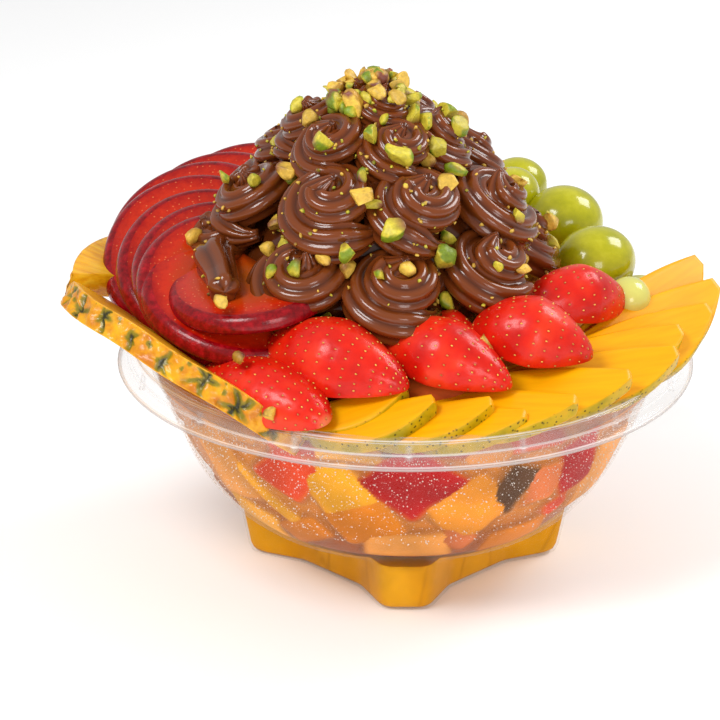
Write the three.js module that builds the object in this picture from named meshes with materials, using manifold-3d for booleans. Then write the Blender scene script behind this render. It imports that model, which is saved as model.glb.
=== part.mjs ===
// Fruit salad cup: a clear footed bowl filled with cut fruit, dressed with a fan of plum
// slices, two pineapple slices, strawberry halves, mango slices and grapes, under a mound
// of piped chocolate cream sprinkled with chopped pistachios.
//
// Millimetres, +Z up. The origin is the centre of the foot's flat underside, the front of
// the cup faces -Y. Directions round the cup are azimuths in degrees, counted from +X
// towards +Y, so -90 is the front and 180 the left.

import * as THREE from 'three';
import { mergeVertices } from 'three/addons/utils/BufferGeometryUtils.js';
import Module from 'manifold-3d';

const wasm = await Module();
wasm.setup();

// ---------------------------------------------------------------- driving dimensions

const GAP = 0.3; // clearance kept between neighbouring pieces
const WALL = 1.2; // thickness of the clear sheet
const SIDES = 26; // facets round the bowl

const RIM_RADIUS = 93; // outer edge of the flange
const FLANGE_HEIGHT = 67; // the flange's edge above the table
const BEAD_RADIUS = 89; // outside of the raised bead on the rim
const BEAD_HEIGHT = 74.6; // top of the bead
const MOUTH_RADIUS = 82.4; // inside of the bead
const BODY_TOP = 66; // where the body meets the bead

const FOOT_REACH = 50.4; // end of each of the foot's four petals
const FOOT_END_HALF_WIDTH = 7.3;
const FOOT_NOTCH_REACH = 34.1; // where a petal meets the slanted wall between petals
const FOOT_NOTCH_HALF_WIDTH = 14.6;
const FOOT_DRAFT = 11; // degrees, the foot widens upwards
const FOOT_HEIGHT = 21;

const LAYER_TOP = 17; // top of the mango pressed into the foot
const CHUNKS_BOTTOM = LAYER_TOP + GAP;
const CHUNK_SIZE = 21; // edge of the fruit cubes in the bowl
const CHUNKS_PER_ROW = 8;

const MOUND_TOP = 163; // tip of the cream
const PLUM_RADIUS = 32;
const PLUM_END_RADIUS = 27;
const PLUM_THICKNESS = 5.4;
const MANGO_THICKNESS = 5;
const PINEAPPLE_RADIUS = 53;
const PINEAPPLE_THICKNESS = 8;

// ---------------------------------------------------------------- small tools

const UP = new THREE.Vector3(0, 0, 1);
const rad = THREE.MathUtils.degToRad;

function seededRandom(seed) {
  let state = seed;
  return () => {
    state = (state * 1664525 + 1013904223) % 4294967296;
    return state / 4294967296;
  };
}

function polar(azimuth, radius, height) {
  const turn = rad(azimuth);
  return new THREE.Vector3(radius * Math.cos(turn), radius * Math.sin(turn), height);
}

function direction(azimuth, elevation) {
  return polar(azimuth, Math.cos(rad(elevation)), Math.sin(rad(elevation)));
}

// A frame whose z axis is the given normal and whose x axis points as near as it can
// along the given heading.
function frameAt(position, normal, heading) {
  const z = normal.clone().normalize();
  const y = z.clone().cross(heading).normalize();
  const x = y.clone().cross(z);
  return new THREE.Matrix4().makeBasis(x, y, z).setPosition(position);
}

// Bare position and index, with shared vertices merged.
function welded(geometry) {
  const bare = geometry.clone();
  bare.deleteAttribute('normal');
  bare.deleteAttribute('uv');
  return mergeVertices(bare, 1e-4);
}

function toSolid(geometry, matrix) {
  const merged = welded(geometry);
  if (matrix) merged.applyMatrix4(matrix);
  return new wasm.Manifold(new wasm.Mesh({
    numProp: 3,
    vertProperties: new Float32Array(merged.attributes.position.array),
    triVerts: new Uint32Array(merged.index.array),
  }));
}

// Triangles grouped into connected shells; only the shell with the largest box is kept,
// so that loose scraps and sealed hollows left by a join or cut disappear.
function toGeometry(solid) {
  const mesh = solid.getMesh();
  const raw = new THREE.BufferGeometry();
  const points = new Float32Array(mesh.numVert * 3);
  for (let i = 0; i < mesh.numVert; i += 1) {
    for (let k = 0; k < 3; k += 1) points[i * 3 + k] = mesh.vertProperties[i * mesh.numProp + k];
  }
  raw.setAttribute('position', new THREE.BufferAttribute(points, 3));
  raw.setIndex(Array.from(mesh.triVerts));
  return largestShell(mergeVertices(raw, 1e-3));
}

function largestShell(geometry) {
  const index = geometry.index.array;
  const position = geometry.attributes.position;
  const parent = Array.from({ length: position.count }, (_, i) => i);
  const root = (i) => {
    let at = i;
    while (parent[at] !== at) {
      parent[at] = parent[parent[at]];
      at = parent[at];
    }
    return at;
  };
  for (let t = 0; t < index.length; t += 3) {
    parent[root(index[t + 1])] = root(index[t]);
    parent[root(index[t + 2])] = root(index[t]);
  }
  const boxes = new Map();
  const point = new THREE.Vector3();
  for (let i = 0; i < position.count; i += 1) {
    const shell = root(i);
    if (!boxes.has(shell)) boxes.set(shell, new THREE.Box3());
    boxes.get(shell).expandByPoint(point.fromBufferAttribute(position, i));
  }
  const reach = (box) => box.getSize(new THREE.Vector3()).length();
  const best = [...boxes.keys()].reduce((a, b) => (reach(boxes.get(a)) >= reach(boxes.get(b)) ? a : b));
  const kept = [];
  for (let t = 0; t < index.length; t += 3) {
    const corners = [index[t], index[t + 1], index[t + 2]];
    const flat = new Set(corners).size < 3;
    if (!flat && root(corners[0]) === best) kept.push(...corners);
  }
  geometry.setIndex(kept);
  return geometry;
}

// ---------------------------------------------------------------- the scene

const cup = new THREE.Group();

function finish(colour, roughness, extra = {}) {
  return new THREE.MeshStandardMaterial({ color: colour, roughness, metalness: 0, ...extra });
}

const CLEAR = finish(0xe9e4e2, 0.08, { transparent: true, opacity: 0.35 });
const MANGO_FLESH = finish(0xf2b21a, 0.45);
const CHUNKS = finish(0xe08a2e, 0.4);
const CREAM = finish(0x6e3e28, 0.25);
const PLUM = finish(0xb8182a, 0.3);
const STRAWBERRY = finish(0xd8261c, 0.35);
const MANGO_SLICE = finish(0xf4bb12, 0.45);
const GRAPE = finish(0xaab52a, 0.2);
const PINEAPPLE = finish(0xe3a518, 0.5);
const PAPAYA = finish(0xd06a22, 0.4);

// A piece is its geometry in its own frame, and the matrix that sets it in the cup. Its
// grown twin is the same shape, larger by the clearance on every side.
function piece(name, geometry, matrix, material, plain = geometry) {
  geometry.computeBoundingBox();
  const size = geometry.boundingBox.getSize(new THREE.Vector3());
  const middle = geometry.boundingBox.getCenter(new THREE.Vector3());
  const grow = new THREE.Matrix4().makeTranslation(middle.x, middle.y, middle.z);
  grow.scale(new THREE.Vector3(1 + 2 * GAP / size.x, 1 + 2 * GAP / size.y, 1 + 2 * GAP / size.z));
  grow.multiply(new THREE.Matrix4().makeTranslation(-middle.x, -middle.y, -middle.z));
  return {
    name,
    matrix,
    material,
    solid: toSolid(geometry, matrix),
    grown: toSolid(plain, matrix.clone().multiply(grow)),
  };
}

function overlaps(solid, other) {
  const a = solid.boundingBox();
  const b = other.boundingBox();
  for (let k = 0; k < 3; k += 1) {
    if (a.max[k] < b.min[k] || b.max[k] < a.min[k]) return false;
  }
  return solid.intersect(other).volume() > 1e-4;
}

function cutClear(solid, cutters) {
  let result = solid;
  for (const cutter of cutters) {
    if (overlaps(result, cutter)) result = result.subtract(cutter);
  }
  return result;
}

function show(name, solid, matrix, material) {
  const geometry = toGeometry(solid);
  geometry.applyMatrix4(matrix.clone().invert());
  geometry.computeVertexNormals();
  const mesh = new THREE.Mesh(geometry, material);
  mesh.name = name;
  matrix.decompose(mesh.position, mesh.quaternion, mesh.scale);
  cup.add(mesh);
  return mesh;
}

// ---------------------------------------------------------------- bowl

const BODY_STEPS = [0, 0.27, 0.6, 1];

// The body's outer curve from the flat middle of the bottom up to the bead.
function bodyCurve(shrink) {
  const curve = new THREE.SplineCurve([
    new THREE.Vector2(47, 15.7),
    new THREE.Vector2(54.5, 20),
    new THREE.Vector2(61, 26.2),
    new THREE.Vector2(70, 39.5),
    new THREE.Vector2(76, 53),
    new THREE.Vector2(81, BODY_TOP),
  ]);
  const points = [new THREE.Vector2(0, 13.2 + shrink), new THREE.Vector2(38, 13.6 + shrink)];
  for (const at of BODY_STEPS) {
    const point = curve.getPoint(at);
    const tangent = curve.getTangent(at);
    points.push(new THREE.Vector2(point.x - shrink * tangent.y, point.y + shrink * tangent.x));
  }
  return points;
}

function lathe(points) {
  return new THREE.LatheGeometry(points, SIDES).rotateX(Math.PI / 2);
}

function bowlOutside() {
  const points = bodyCurve(0);
  points.push(
    new THREE.Vector2(85, BEAD_HEIGHT - WALL),
    new THREE.Vector2(BEAD_RADIUS - WALL, BEAD_HEIGHT - WALL),
    new THREE.Vector2(BEAD_RADIUS - WALL, FLANGE_HEIGHT + 1.4),
    new THREE.Vector2(RIM_RADIUS, FLANGE_HEIGHT - WALL / 2),
    new THREE.Vector2(RIM_RADIUS, FLANGE_HEIGHT + WALL / 2),
    new THREE.Vector2(BEAD_RADIUS + 0.4, FLANGE_HEIGHT + 2.6),
    new THREE.Vector2(BEAD_RADIUS - 0.4, BEAD_HEIGHT),
    new THREE.Vector2(0, BEAD_HEIGHT),
  );
  return lathe(points);
}

function bowlInside(extra, top) {
  const points = bodyCurve(WALL + extra);
  points.push(
    new THREE.Vector2(MOUTH_RADIUS - extra, BEAD_HEIGHT - 1),
    new THREE.Vector2(MOUTH_RADIUS + 2 - extra, BEAD_HEIGHT + 2),
    new THREE.Vector2(MOUTH_RADIUS + 2 - extra, top),
    new THREE.Vector2(0, top),
  );
  return lathe(points);
}

// The foot: four petals joined by slanted walls, widening upwards from its flat base.
function footGeometry(shrink, bottom, top) {
  const outline = new THREE.Shape();
  const end = FOOT_REACH - shrink;
  const half = FOOT_END_HALF_WIDTH - shrink * 0.4;
  const notch = FOOT_NOTCH_REACH - shrink * 0.8;
  const notchHalf = FOOT_NOTCH_HALF_WIDTH - shrink * 0.6;
  const round = 2.2;
  const corners = [];
  for (let quarter = 0; quarter < 4; quarter += 1) {
    const turn = quarter * Math.PI / 2;
    const petal = [[notch, -notchHalf], [end - round, -half - round * 0.5], [end, -half + round],
      [end, half - round], [end - round, half + round * 0.5], [notch, notchHalf]];
    for (const [along, across] of petal) {
      corners.push(new THREE.Vector2(along, across).rotateAround(new THREE.Vector2(), turn));
    }
  }
  outline.setFromPoints(corners);
  const geometry = new THREE.ExtrudeGeometry(outline, { depth: top - bottom, bevelEnabled: false });
  geometry.translate(0, 0, bottom);
  const position = geometry.attributes.position;
  for (let i = 0; i < position.count; i += 1) {
    const scale = 1 + position.getZ(i) * Math.tan(rad(FOOT_DRAFT)) / FOOT_REACH;
    position.setXY(i, position.getX(i) * scale, position.getY(i) * scale);
  }
  return geometry;
}

const identity = new THREE.Matrix4();
const footHollow = toSolid(footGeometry(WALL, WALL, FOOT_HEIGHT));
const bowlHollow = toSolid(bowlInside(0, BEAD_HEIGHT + 20)).add(footHollow);
const bowlBlank = toSolid(bowlOutside()).add(toSolid(footGeometry(0, 0, FOOT_HEIGHT - 1)));
show('bowl', bowlBlank.subtract(bowlHollow), identity, CLEAR);

// ---------------------------------------------------------------- toppings

const toppings = [];

// Round slices of plum, cut off straight on the side that the cream covers. The fan runs
// round the left of the cup from the back, each slice leaning on the one behind it, with a
// smaller end slice on top at the front.
const PLUMS = [
  { azimuth: 136, reach: 74, height: 96.5, facing: -116, lift: 55, radius: PLUM_RADIUS },
  { azimuth: 147, reach: 74, height: 96.5, facing: -115, lift: 55, radius: PLUM_RADIUS },
  { azimuth: 158, reach: 73.4, height: 96.6, facing: -112, lift: 54, radius: PLUM_RADIUS },
  { azimuth: 169, reach: 68, height: 96.6, facing: -97, lift: 54, radius: PLUM_RADIUS },
  { azimuth: 180, reach: 60.7, height: 96.8, facing: -76, lift: 57, radius: PLUM_RADIUS },
  { azimuth: 191, reach: 56.2, height: 96.9, facing: -64, lift: 58, radius: PLUM_RADIUS },
  { azimuth: 202, reach: 57, height: 97.2, facing: -64, lift: 58, radius: PLUM_RADIUS },
  { azimuth: 208.4, reach: 57.6, height: 98.6, facing: -74, lift: 69, radius: PLUM_RADIUS },
  { azimuth: 214.4, reach: 57.8, height: 103.4, facing: -130, lift: 80, radius: PLUM_END_RADIUS },
];

function plumSlice(radius, bevelEnabled) {
  const outline = new THREE.Shape();
  const open = rad(104);
  outline.absarc(0, 0, radius, -open, open, false);
  outline.closePath();
  const geometry = new THREE.ExtrudeGeometry(outline, {
    depth: bevelEnabled ? PLUM_THICKNESS - 1.6 : PLUM_THICKNESS,
    curveSegments: 5,
    bevelEnabled,
    bevelSegments: 1,
    bevelSize: 1.2,
    bevelThickness: 0.8,
    bevelOffset: -1.2,
  });
  return geometry.translate(0, 0, bevelEnabled ? 0.8 - PLUM_THICKNESS / 2 : -PLUM_THICKNESS / 2);
}

PLUMS.forEach(({ azimuth, reach, height, facing, lift, radius }, i) => {
  const matrix = frameAt(polar(azimuth, reach, height), direction(facing, lift), polar(azimuth, 1, 0));
  const [shown, plain] = [plumSlice(radius, true), plumSlice(radius, false)];
  toppings.push(piece(`plum_slice_${i + 1}`, shown, matrix, PLUM, plain));
});

// Half slices of pineapple with the rind on: the front one leans on the rim, the rear one
// lies on it.
function pineappleSlice(open) {
  const eyes = 8;
  const outline = new THREE.Shape();
  const points = [];
  for (let i = 0; i <= eyes * 2; i += 1) {
    const turn = rad(THREE.MathUtils.lerp(-open, open, i / (eyes * 2)));
    const radius = PINEAPPLE_RADIUS - (i % 2 === 0 ? 1.2 : 0);
    points.push(new THREE.Vector2(radius * Math.cos(turn), radius * Math.sin(turn)));
  }
  outline.setFromPoints(points);
  const geometry = new THREE.ExtrudeGeometry(outline, { depth: PINEAPPLE_THICKNESS, bevelEnabled: false });
  return geometry.translate(0, 0, -PINEAPPLE_THICKNESS / 2);
}

const PINEAPPLES = [
  { name: 'pineapple_slice_front', at: [-62, -30, 70.2], facing: 31, lift: 52, out: 222, open: 82 },
  { name: 'pineapple_slice_rear', at: [-58, 6, 76.3], facing: -19, lift: 71, out: 118, open: 70 },
];

for (const { name, at, facing, lift, out, open } of PINEAPPLES) {
  const matrix = frameAt(new THREE.Vector3(...at), direction(facing, lift), polar(out, 1, 0));
  toppings.push(piece(name, pineappleSlice(open), matrix, PINEAPPLE));
}

// Strawberry halves, cut side down, from stem end to tip.
const STRAWBERRIES = [
  { stem: [-43, -46, 89], tip: [0, -70, 82], width: 27, height: 15 },
  { stem: [-24, -80, 75], tip: [-63, -44, 81], width: 24, height: 12 },
  { stem: [-8, -45, 90], tip: [31, -66, 83], width: 24, height: 14 },
  { stem: [19, -42, 91], tip: [57, -46, 86], width: 26, height: 15 },
  { stem: [36, -26, 91], tip: [71, -2, 88], width: 22, height: 13 },
  { stem: [2, -40, 88], tip: [24, -44, 86], width: 18, height: 11 },
];

function strawberryHalf(length, width, height) {
  const geometry = new THREE.SphereGeometry(1, 9, 6).rotateZ(-Math.PI / 2);
  const position = geometry.attributes.position;
  for (let i = 0; i < position.count; i += 1) {
    const along = position.getX(i);
    const taper = 1.06 - 0.3 * Math.max(along, 0) ** 1.5 + 0.08 * Math.min(along, 0);
    const up = position.getZ(i);
    position.setXYZ(
      i,
      along * length / 2,
      position.getY(i) * taper * width / 2,
      (up > 0 ? up * taper * height : up * 1.5),
    );
  }
  return geometry;
}

STRAWBERRIES.forEach(({ stem, tip, width, height }, i) => {
  const from = new THREE.Vector3(...stem);
  const to = new THREE.Vector3(...tip);
  const heading = to.clone().sub(from);
  const middle = from.clone().add(to).multiplyScalar(0.5);
  const outward = new THREE.Vector3(middle.x, middle.y, 0).normalize();
  const normal = UP.clone().addScaledVector(outward, 0.25);
  const matrix = frameAt(middle, normal, heading);
  const geometry = strawberryHalf(heading.length(), width, height);
  toppings.push(piece(`strawberry_half_${i + 1}`, geometry, matrix, STRAWBERRY));
});

// Mango slices with the skin on, fanned along the rim from the front to the right. Each
// is placed by its outer tip, with its long axis at a heading, rising by its pitch, and
// rolled so that its skin hangs lower than its cut edge. Each lies on the next.
const MANGO_FAN = [
  { azimuth: -90, reach: 67, height: 82.5, heading: 2, pitch: 18, roll: 18, length: 38 },
  { azimuth: -83.5, reach: 74, height: 81, heading: 0, pitch: 16, roll: 18, length: 40 },
  { azimuth: -70.5, reach: 77, height: 80, heading: -2, pitch: 13, roll: 18, length: 44 },
  { azimuth: -65, reach: 84.5, height: 77.5, heading: -16, pitch: 10, roll: 20, length: 46 },
  { azimuth: -54, reach: 87, height: 79.5, heading: -12, pitch: 6, roll: 20, length: 54 },
  { azimuth: -38, reach: 87, height: 81, heading: 1, pitch: 4, roll: 22, length: 60 },
  { azimuth: -22, reach: 91, height: 81.5, heading: 13, pitch: 5, roll: 26, length: 62 },
  { azimuth: -12.5, reach: 89, height: 83, heading: 22, pitch: 6, roll: 30, length: 62 },
  { azimuth: -3, reach: 97, height: 85, heading: 29, pitch: 7, roll: 34, length: 64 },
  { azimuth: 6, reach: 101, height: 88, heading: 37, pitch: 9, roll: 37, length: 66 },
  { azimuth: 15, reach: 99, height: 90.5, heading: 47, pitch: 10, roll: 40, length: 66 },
];
const MANGO_SKIN_BULGE = 0.27; // of the slice's length
const MANGO_CUT_BULGE = 0.07;
const MANGO_BLUNT = 3; // width of the ends

function mangoSlice(length) {
  const outline = new THREE.Shape();
  const blunt = MANGO_BLUNT / 2;
  outline.moveTo(-length, -blunt);
  outline.quadraticCurveTo(-length / 2, -2 * MANGO_SKIN_BULGE * length, 0, -blunt);
  outline.lineTo(0, blunt);
  outline.quadraticCurveTo(-length / 2, 2 * MANGO_CUT_BULGE * length, -length, blunt);
  outline.closePath();
  const geometry = new THREE.ExtrudeGeometry(outline, {
    depth: MANGO_THICKNESS,
    curveSegments: 5,
    bevelEnabled: false,
  });
  return geometry.translate(0, 0, -MANGO_THICKNESS / 2);
}

MANGO_FAN.forEach(({ azimuth, reach, height, heading, pitch, roll, length }, i) => {
  const euler = new THREE.Euler(rad(roll), -rad(pitch), rad(heading), 'ZYX');
  const matrix = new THREE.Matrix4().makeRotationFromEuler(euler).setPosition(polar(azimuth, reach, height));
  toppings.push(piece(`mango_slice_${i + 1}`, mangoSlice(length), matrix, MANGO_SLICE));
});

// Whole grapes heaped at the right and the back, with two cut pieces in front of them.
const GRAPES = [
  { at: [62, 22, 91], size: [28, 25, 24], along: 40 },
  { at: [53.4, 53, 94], size: [27, 26, 25], along: 20 },
  { at: [36.8, 62, 101], size: [20, 18, 18], along: 80 },
  { at: [39.2, 82, 97.5], size: [21, 20, 19], along: 10 },
  { at: [71, -3, 88], size: [15, 14, 14], along: 60 },
  { at: [76, 20, 80.5], size: [18, 16, 13], along: 50 },
  { at: [12, 70, 84], size: [26, 24, 23], along: 100 },
  { at: [-14, 72, 84], size: [26, 24, 23], along: 70 },
  { at: [38, 64, 81], size: [24, 22, 21], along: 120 },
  { at: [-40, 66, 84], size: [24, 23, 22], along: 130 },
];

GRAPES.forEach(({ at, size, along }, i) => {
  const geometry = new THREE.SphereGeometry(0.5, 9, 5).rotateX(Math.PI / 2).scale(...size);
  const matrix = frameAt(new THREE.Vector3(...at), direction(along + 90, 75), direction(along, 0));
  toppings.push(piece(`grape_${i + 1}`, geometry, matrix, GRAPE));
});

// The slice of papaya that shows between the strawberries and the mango.
const papaya = new THREE.SphereGeometry(1, 7, 4).rotateZ(Math.PI / 2).scale(15, 8, 7);
const papayaMatrix = frameAt(new THREE.Vector3(11, -55, 77), direction(-80, 60), direction(-12, 0));
toppings.push(piece('papaya_piece', papaya, papayaMatrix, PAPAYA));

// ---------------------------------------------------------------- cream

// Outer envelope of the piped mound: radius against height, its axis a little left.
const MOUND = [[86, 52], [101, 57], [112, 54], [124, 46.5], [140, 34.5], [152, 21], [MOUND_TOP, 3]];
const MOUND_AXIS_X = -10.5;
const CORE_DEPTH = 9; // the plain core lies this far inside the envelope

function creamCore() {
  const points = [new THREE.Vector2(0, MOUND[0][0])];
  for (const [z, r] of MOUND) points.push(new THREE.Vector2(Math.max(r - CORE_DEPTH, 1.5), z - 3));
  points.push(new THREE.Vector2(0, MOUND_TOP - 3));
  return new THREE.LatheGeometry(points, 12).rotateX(Math.PI / 2).translate(MOUND_AXIS_X, 0, 0);
}

// Each tier of rosettes: height and reach of their middles, their size, and azimuths.
const TIERS = [
  { height: 104, reach: 44, size: 16.4, lift: 58, azimuths: [-119, -81, -38, 5, 52, 95, 139] },
  { height: 103.5, reach: 48, size: 15, lift: 62, azimuths: [-173] },
  { height: 125.5, reach: 33, size: 16.2, lift: 58, azimuths: [-112, -66, 34, 86, 140] },
  { height: 119.5, reach: 37.5, size: 15.6, lift: 58, azimuths: [-169, -17] },
  { height: 140, reach: 19, size: 12.8, lift: 60, azimuths: [-192, -130, -68, -11, 56, 112] },
  { height: 150.5, reach: 6, size: 9.5, lift: 68, azimuths: [-180, -60, 60] },
];
const RIDGES = 4;
const ROSETTE_RINGS = [[0.45, 0.62], [0.84, 0.42], [1, 0.08]];

// A rosette is a squat dome whose piped ridges turn as they climb to its middle.
function rosette(size, spin) {
  const sides = RIDGES * 3;
  const profile = [new THREE.Vector2(0, -0.3 * size)];
  for (const [r, z] of [...ROSETTE_RINGS].reverse()) profile.push(new THREE.Vector2(r * size, z * size));
  profile.push(new THREE.Vector2(0, 0.78 * size));
  const geometry = welded(new THREE.LatheGeometry(profile, sides).rotateX(Math.PI / 2));
  const position = geometry.attributes.position;
  for (let i = 0; i < position.count; i += 1) {
    const radius = Math.hypot(position.getX(i), position.getY(i));
    if (radius < 1e-6) continue;
    const inward = 1 - radius / size;
    const angle = Math.atan2(position.getY(i), position.getX(i));
    const ridge = Math.cos(RIDGES * angle) * 0.085 * (0.35 + radius / size);
    const turned = angle + spin + 1.7 * inward;
    const scaled = radius * (1 + ridge);
    position.setXYZ(
      i,
      scaled * Math.cos(turned),
      scaled * Math.sin(turned),
      position.getZ(i) + ridge * size * 0.7,
    );
  }
  return geometry;
}

const random = seededRandom(11);
let cream = toSolid(creamCore());
for (const { height, reach, size, lift, azimuths } of TIERS) {
  for (const azimuth of azimuths) {
    const centre = polar(azimuth, reach, height + 2 * (random() - 0.5));
    centre.x += MOUND_AXIS_X;
    const matrix = frameAt(centre, direction(azimuth, lift), UP);
    cream = cream.add(toSolid(rosette(size * (0.96 + 0.08 * random()), 6 * random()), matrix));
  }
}

// A rope of cream that slid off the left rosette.
const tailPath = new THREE.CatmullRomCurve3([
  new THREE.Vector3(-57, -12, 105),
  new THREE.Vector3(-60.5, -24, 109),
  new THREE.Vector3(-57.5, -35, 108),
  new THREE.Vector3(-55.5, -48, 106.5),
]);
const tailSection = new THREE.Shape().absarc(0, 0, 5.4, 0, Math.PI * 2, false);
const tail = new THREE.ExtrudeGeometry(tailSection, {
  steps: 3, curveSegments: 4, extrudePath: tailPath, bevelEnabled: false,
});
cream = cream.add(toSolid(tail));

// Chopped pistachios: lumps of a few millimetres, set half into the cream where a line
// from outside towards the mound's axis meets it.
const NUTS = [
  [-130, 116, 10], [-63, 115, 9.5], [-82, 126, 9], [-97, 134, 8.5], [-96, 139, 6.5],
  [-74, 143, 9], [-50, 134, 9], [-31, 136, 8], [-36, 148, 7], [-124, 147, 8.5],
  [-150, 134, 8.5], [-173, 128, 7], [-102, 117, 7.5], [-51, 117, 8], [-142, 120, 7],
  [-15, 105, 6.5], [-168, 111, 8], [-59, 101, 7],
]; // azimuth, height and size
const NUTS_TOP = 9; // more of them heaped on the tip
const NUTS_BEHIND = 7; // and scattered over the far side

const creamTarget = new THREE.Mesh(toGeometry(cream), CREAM);
const ray = new THREE.Raycaster();

function creamPoint(azimuth, height) {
  const inward = polar(azimuth, -1, 0);
  const from = polar(azimuth, 120, height);
  from.x += MOUND_AXIS_X;
  ray.set(from, inward);
  return ray.intersectObject(creamTarget)[0]?.point;
}

function nut(size) {
  const geometry = welded(new THREE.IcosahedronGeometry(size / 2, 0));
  const position = geometry.attributes.position;
  const corner = new THREE.Vector3();
  for (let i = 0; i < position.count; i += 1) {
    corner.fromBufferAttribute(position, i).multiplyScalar(0.8 + 0.35 * random());
    position.setXYZ(i, corner.x * 1.1, corner.y * 0.8, corner.z * 0.75);
  }
  return geometry.rotateX(6 * random()).rotateY(6 * random());
}

const nutPlaces = [...NUTS];
for (let i = 0; i < NUTS_TOP; i += 1) {
  nutPlaces.push([i * 137.5, 149 + 13 * Math.sqrt(i / NUTS_TOP), 6 + 2 * random()]);
}
for (let i = 0; i < NUTS_BEHIND; i += 1) {
  nutPlaces.push([15 + 150 * i / NUTS_BEHIND, 104 + 34 * random(), 7 + 2 * random()]);
}
for (const [azimuth, height, size] of nutPlaces) {
  const point = creamPoint(azimuth, height);
  if (point) cream = cream.add(toSolid(nut(size), new THREE.Matrix4().setPosition(point)));
}

// ---------------------------------------------------------------- fruit in the bowl

// What the bowl can hold, clear of its walls.
const bowlfulFoot = toSolid(footGeometry(WALL + GAP, WALL + GAP, FOOT_HEIGHT - GAP));
const bowlful = toSolid(bowlInside(GAP, BEAD_HEIGHT + 20)).add(bowlfulFoot);
const aboveLayer = toSolid(new THREE.BoxGeometry(200, 200, 100).translate(0, 0, LAYER_TOP + 50));
const belowChunks = toSolid(new THREE.BoxGeometry(200, 200, 60).translate(0, 0, CHUNKS_BOTTOM - 30));
show('mango_layer', bowlful.subtract(aboveLayer), identity, MANGO_FLESH);

function fillingCore() {
  const inset = 6;
  const points = [new THREE.Vector2(0, CHUNKS_BOTTOM), new THREE.Vector2(44, CHUNKS_BOTTOM)];
  points.push(...bodyCurve(WALL + inset).slice(3));
  points.push(
    new THREE.Vector2(72, 65),
    new THREE.Vector2(50, 72),
    new THREE.Vector2(36, 84),
    new THREE.Vector2(0, 85),
  );
  return new THREE.LatheGeometry(points, 14).rotateX(Math.PI / 2);
}

// Fruit cubes pressed against the wall in rows, each turned about its outward side.
const CHUNK_ROWS = [
  { height: 31, reach: 51, lift: -42 },
  { height: 52, reach: 61, lift: -24 },
];
let filling = toSolid(fillingCore());
CHUNK_ROWS.forEach(({ height, reach, lift }, row) => {
  for (let i = 0; i < CHUNKS_PER_ROW; i += 1) {
    const azimuth = (i + 0.5 * row) * 360 / CHUNKS_PER_ROW + 6 * random();
    const size = CHUNK_SIZE * (0.8 + 0.2 * random());
    const cube = new THREE.BoxGeometry(size, size, size).rotateZ(3 * random());
    cube.translate(0, 0, (CHUNK_SIZE - size) / 2);
    const matrix = frameAt(polar(azimuth, reach, height), direction(azimuth, lift), UP);
    filling = filling.add(toSolid(cube, matrix));
  }
});

// ---------------------------------------------------------------- clearing and showing

// The bowl, thicker by the clearance on both sides.
const bowlGrown = toSolid(lathe([
  new THREE.Vector2(0, 30),
  new THREE.Vector2(60, 30),
  new THREE.Vector2(84, 60),
  new THREE.Vector2(RIM_RADIUS + GAP, FLANGE_HEIGHT - 3),
  new THREE.Vector2(RIM_RADIUS + GAP, FLANGE_HEIGHT + 1),
  new THREE.Vector2(BEAD_RADIUS + 0.4 + GAP, FLANGE_HEIGHT + 3),
  new THREE.Vector2(BEAD_RADIUS + GAP, BEAD_HEIGHT + GAP),
  new THREE.Vector2(0, BEAD_HEIGHT + GAP),
])).subtract(bowlful);

// Pieces placed first stay whole; each later one makes room for those it lies against.
const KINDS = ['strawberry', 'pineapple', 'mango', 'plum', 'grape', 'papaya'];
const rank = ({ name }) => KINDS.findIndex((kind) => name.startsWith(kind));
toppings.sort((a, b) => rank(a) - rank(b));
const cutters = [bowlGrown];
for (const topping of toppings) {
  const solid = cutClear(topping.solid, cutters);
  show(topping.name, solid, topping.matrix, topping.material);
  cutters.push(topping.grown);
}

filling = cutClear(filling.intersect(bowlful).subtract(belowChunks), cutters.slice(1));
show('fruit_chunks', filling, identity, CHUNKS);

const fillingTop = toSolid(fillingCore().scale(1.004, 1.004, 1.004));
cream = cutClear(cream, [...cutters, fillingTop]);
show('chocolate_cream', cream, identity, CREAM);

export default cup;
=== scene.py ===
"""Looks for the fruit salad cup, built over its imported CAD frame.

Placements are in millimetres, as in the CAD, and become metres when a mesh is made. The
front of the cup faces -Y; azimuths are in degrees from +X towards +Y.
"""

import math

import bmesh
import bpy
import numpy as np
from mathutils import Matrix, Vector
from mathutils.bvhtree import BVHTree


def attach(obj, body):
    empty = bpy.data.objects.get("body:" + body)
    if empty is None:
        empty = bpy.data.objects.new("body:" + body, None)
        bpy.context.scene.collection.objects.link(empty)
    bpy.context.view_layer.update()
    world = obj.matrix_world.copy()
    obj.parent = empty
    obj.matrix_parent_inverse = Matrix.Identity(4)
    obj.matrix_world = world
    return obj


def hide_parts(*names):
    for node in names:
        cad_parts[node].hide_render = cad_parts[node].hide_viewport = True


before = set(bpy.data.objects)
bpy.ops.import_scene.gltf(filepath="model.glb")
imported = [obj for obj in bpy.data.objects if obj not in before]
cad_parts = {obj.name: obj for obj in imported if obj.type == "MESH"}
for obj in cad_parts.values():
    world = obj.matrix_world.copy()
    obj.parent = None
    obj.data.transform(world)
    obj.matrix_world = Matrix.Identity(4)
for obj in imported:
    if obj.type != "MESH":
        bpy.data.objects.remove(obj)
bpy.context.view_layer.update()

MM = 0.001
TURN = 2 * math.pi
rng = np.random.default_rng(5)

# ---------------------------------------------------------------- sizes shared with the CAD

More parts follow.
